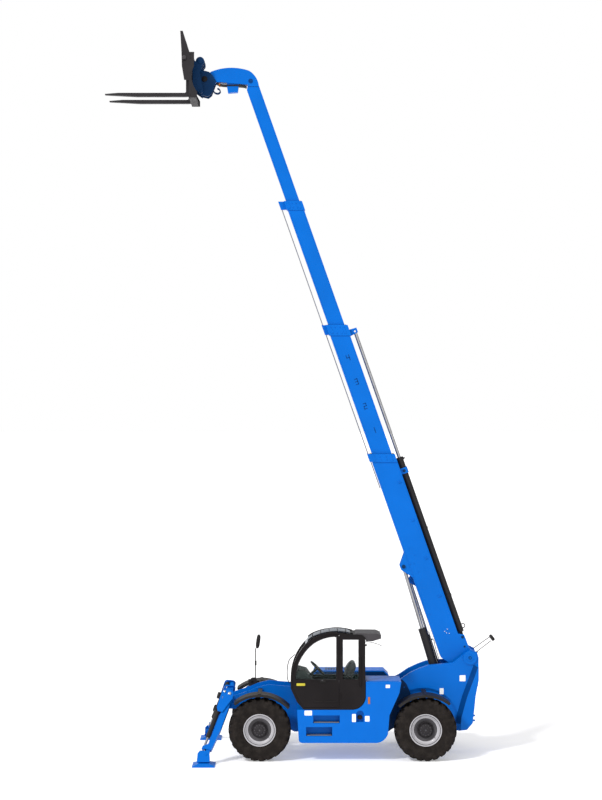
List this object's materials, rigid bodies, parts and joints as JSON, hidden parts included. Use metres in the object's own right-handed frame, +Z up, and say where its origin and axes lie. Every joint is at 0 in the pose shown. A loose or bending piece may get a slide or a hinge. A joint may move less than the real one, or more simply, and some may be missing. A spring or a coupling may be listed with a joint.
{
  "type": "telehandler",
  "caption": "High-reach telescopic handler with four-wheel steering, side cab, front outriggers and a four-section boom raised with pallet forks.",
  "frame": {"origin": "on the ground, midway between the extremes in X and on the boom's centre plane in Y", "axes": "-X to the front of the machine, +X to its rear, -Y to its left (cab) side, +Z up"},
  "size_m": [8.691, 3.72, 16.079],
  "materials": {
    "blue_paint": "semi-gloss blue paint",
    "dark_blue_paint": "dark blue paint",
    "black_paint": "satin black paint",
    "charcoal_steel": "charcoal painted steel",
    "chromed_rod": "polished hard chrome",
    "zinc_pipe": "zinc plated pipe",
    "tyre_rubber": "dark rubber",
    "rim_silver": "silver grey paint",
    "tinted_glass": "clear glass, slightly green",
    "grey_plastic": "dark grey moulded plastic",
    "seat_cloth": "black cloth",
    "engine_iron": "bare casting"
  },
  "bodies": {
    "chassis": {"chassis_frame": "blue_paint", "counterweight": "blue_paint", "side_tank": "blue_paint", "cab_shell": "black_paint", "cab_glass": "tinted_glass", "roof_visor": "grey_plastic", "cab_seat": "seat_cloth", "cab_console": "grey_plastic", "steering_wheel": "grey_plastic", "engine_pod": "blue_paint", "engine_block": "engine_iron", "fenders": "grey_plastic", "mirrors": "grey_plastic", "front_axle": "black_paint", "rear_axle": "black_paint"},
    "steer_fl": {"knuckle_fl": "black_paint"},
    "wheel_fl": {"tyre_fl": "tyre_rubber", "rim_fl": "rim_silver"},
    "steer_fr": {"knuckle_fr": "black_paint"},
    "wheel_fr": {"tyre_fr": "tyre_rubber", "rim_fr": "rim_silver"},
    "steer_rl": {"knuckle_rl": "black_paint"},
    "wheel_rl": {"tyre_rl": "tyre_rubber", "rim_rl": "rim_silver"},
    "steer_rr": {"knuckle_rr": "black_paint"},
    "wheel_rr": {"tyre_rr": "tyre_rubber", "rim_rr": "rim_silver"},
    "door": {"cab_door": "black_paint", "door_glass": "tinted_glass"},
    "hood": {"engine_hood": "blue_paint"},
    "boom_base": {"boom_base": "blue_paint", "extension_barrel": "black_paint"},
    "boom_second": {"boom_second": "blue_paint", "extension_rod": "chromed_rod", "slide_pipe_second": "zinc_pipe"},
    "boom_third": {"boom_third": "blue_paint", "slide_pipe_third": "zinc_pipe"},
    "boom_tip": {"boom_tip": "blue_paint"},
    "fork_head": {"coupler": "dark_blue_paint", "carriage_frame": "charcoal_steel", "backrest": "charcoal_steel", "fork_tines": "charcoal_steel"},
    "lift_barrel": {"lift_barrel": "black_paint"},
    "lift_rod": {"lift_rod": "chromed_rod"},
    "comp_barrel": {"comp_barrel": "black_paint"},
    "comp_rod": {"comp_rod": "chromed_rod"},
    "outrigger_leg_left": {"outrigger_leg_left": "blue_paint"},
    "outrigger_pad_left": {"outrigger_pad_left": "blue_paint"},
    "outrigger_barrel_left": {"outrigger_barrel_left": "black_paint"},
    "outrigger_rod_left": {"outrigger_rod_left": "chromed_rod"},
    "outrigger_leg_right": {"outrigger_leg_right": "blue_paint"},
    "outrigger_pad_right": {"outrigger_pad_right": "blue_paint"},
    "outrigger_barrel_right": {"outrigger_barrel_right": "black_paint"},
    "outrigger_rod_right": {"outrigger_rod_right": "chromed_rod"}
  },
  "joints": [
    {"name": "steering_fl", "type": "hinge", "parent": "chassis", "child": "steer_fl", "pos_m": [-0.905, -0.86, 0.685], "axis": [0, 0, 1], "range_deg": [-35, 35]},
    {"name": "wheel_spin_fl", "type": "hinge", "parent": "steer_fl", "child": "wheel_fl", "pos_m": [-0.905, -1.048, 0.685], "axis": [0, 1, 0], "continuous": true},
    {"name": "steering_fr", "type": "hinge", "parent": "chassis", "child": "steer_fr", "pos_m": [-0.905, 0.86, 0.685], "axis": [0, 0, 1], "range_deg": [-35, 35]},
    {"name": "wheel_spin_fr", "type": "hinge", "parent": "steer_fr", "child": "wheel_fr", "pos_m": [-0.905, 1.048, 0.685], "axis": [0, 1, 0], "continuous": true},
    {"name": "steering_rl", "type": "hinge", "parent": "chassis", "child": "steer_rl", "pos_m": [2.725, -0.86, 0.685], "axis": [0, 0, 1], "range_deg": [-35, 35]},
    {"name": "wheel_spin_rl", "type": "hinge", "parent": "steer_rl", "child": "wheel_rl", "pos_m": [2.725, -1.048, 0.685], "axis": [0, 1, 0], "continuous": true},
    {"name": "steering_rr", "type": "hinge", "parent": "chassis", "child": "steer_rr", "pos_m": [2.725, 0.86, 0.685], "axis": [0, 0, 1], "range_deg": [-35, 35]},
    {"name": "wheel_spin_rr", "type": "hinge", "parent": "steer_rr", "child": "wheel_rr", "pos_m": [2.725, 1.048, 0.685], "axis": [0, 1, 0], "continuous": true},
    {"name": "cab_door_swing", "type": "hinge", "parent": "chassis", "child": "door", "pos_m": [0.862, -1.236, 1.9], "axis": [0, 0, 1], "range_deg": [0, 88]},
    {"name": "engine_hood_lift", "type": "hinge", "parent": "chassis", "child": "hood", "pos_m": [1.1, 0.652, 1.576], "axis": [1, 0, 0], "range_deg": [0, 70]},
    {"name": "boom_lift", "type": "hinge", "parent": "chassis", "child": "boom_base", "pos_m": [3.766, 0, 2.158], "axis": [0, 1, 0], "range_deg": [-73.6, 0]},
    {"name": "telescope", "type": "slide", "parent": "boom_base", "child": "boom_second", "axis": [-0.3322, 0, 0.9432], "range_m": [-2.6, 0.6]},
    {"name": "telescope_third", "type": "slide", "parent": "boom_second", "child": "boom_third", "axis": [-0.3322, 0, 0.9432], "range_m": [-2.601, 0.601]},
    {"name": "telescope_tip", "type": "slide", "parent": "boom_third", "child": "boom_tip", "axis": [-0.3322, 0, 0.9432], "range_m": [-2.601, 0.601]},
    {"name": "fork_tilt", "type": "hinge", "parent": "boom_tip", "child": "fork_head", "pos_m": [-2.157, 0, 15.09], "axis": [0, -1, 0], "range_deg": [-80, 52]},
    {"name": "lift_barrel_swing", "type": "hinge", "parent": "chassis", "child": "lift_barrel", "pos_m": [3.206, -0.105, 1.15], "axis": [0, 1, 0], "range_deg": [-67.64, 0.3]},
    {"name": "lift_rod_stroke", "type": "slide", "parent": "lift_barrel", "child": "lift_rod", "axis": [-0.2882, 0, 0.9576], "range_m": [-1.3829, 0.002]},
    {"name": "comp_barrel_swing", "type": "hinge", "parent": "chassis", "child": "comp_barrel", "pos_m": [3.33, 0.14, 1.17], "axis": [0, 1, 0], "range_deg": [-64.33, 0.3]},
    {"name": "comp_rod_stroke", "type": "slide", "parent": "comp_barrel", "child": "comp_rod", "axis": [-0.3103, 0, 0.9506], "range_m": [-1.2159, 0.002]},
    {"name": "outrigger_swing_left", "type": "hinge", "parent": "chassis", "child": "outrigger_leg_left", "pos_m": [-1.575, -0.69, 1.365], "axis": [0, -0.8112, 0.5848], "range_deg": [-46, 0]},
    {"name": "outrigger_foot_left", "type": "hinge", "parent": "outrigger_leg_left", "child": "outrigger_pad_left", "pos_m": [-2.05, -1.52977, 0.20026], "axis": [0, -0.8112, 0.5848], "range_deg": [-0.5, 46.5]},
    {"name": "outrigger_barrel_swing_left", "type": "hinge", "parent": "chassis", "child": "outrigger_barrel_left", "pos_m": [-1.685, -0.66076, 1.40556], "axis": [0, -0.8112, 0.5848], "range_deg": [-47.22, 0.3]},
    {"name": "outrigger_rod_stroke_left", "type": "slide", "parent": "outrigger_barrel_left", "child": "outrigger_rod_left", "axis": [-0.3088, -0.5563, -0.7715], "range_m": [-0.0959, 0.002]},
    {"name": "outrigger_swing_right", "type": "hinge", "parent": "chassis", "child": "outrigger_leg_right", "pos_m": [-1.575, 0.69, 1.365], "axis": [0, -0.8112, -0.5848], "range_deg": [-46, 0]},
    {"name": "outrigger_foot_right", "type": "hinge", "parent": "outrigger_leg_right", "child": "outrigger_pad_right", "pos_m": [-2.05, 1.52977, 0.20026], "axis": [0, -0.8112, -0.5848], "range_deg": [-0.5, 46.5]},
    {"name": "outrigger_barrel_swing_right", "type": "hinge", "parent": "chassis", "child": "outrigger_barrel_right", "pos_m": [-1.685, 0.66076, 1.40556], "axis": [0, -0.8112, -0.5848], "range_deg": [-47.22, 0.3]},
    {"name": "outrigger_rod_stroke_right", "type": "slide", "parent": "outrigger_barrel_right", "child": "outrigger_rod_right", "axis": [-0.3088, 0.5563, -0.7715], "range_m": [-0.0959, 0.002]}
  ],
  "couplings": [
    {"joint": "steering_fr", "follows": "steering_fl", "ratio": 1},
    {"joint": "steering_rr", "follows": "steering_rl", "ratio": 1},
    {"joint": "telescope_third", "follows": "telescope", "ratio": 1},
    {"joint": "telescope_tip", "follows": "telescope", "ratio": 1},
    {"joint": "lift_barrel_swing", "follows": "boom_lift", "ratio": 0.915},
    {"joint": "lift_rod_stroke", "follows": "boom_lift", "m_per_rad": 1.075},
    {"joint": "comp_barrel_swing", "follows": "boom_lift", "ratio": 0.87},
    {"joint": "comp_rod_stroke", "follows": "boom_lift", "m_per_rad": 0.945},
    {"joint": "outrigger_foot_left", "follows": "outrigger_swing_left", "ratio": -1},
    {"joint": "outrigger_barrel_swing_left", "follows": "outrigger_swing_left", "ratio": 1.02},
    {"joint": "outrigger_rod_stroke_left", "follows": "outrigger_swing_left", "m_per_rad": 0.117},
    {"joint": "outrigger_foot_right", "follows": "outrigger_swing_right", "ratio": -1},
    {"joint": "outrigger_barrel_swing_right", "follows": "outrigger_swing_right", "ratio": 1.02},
    {"joint": "outrigger_rod_stroke_right", "follows": "outrigger_swing_right", "m_per_rad": 0.117}
  ]
}
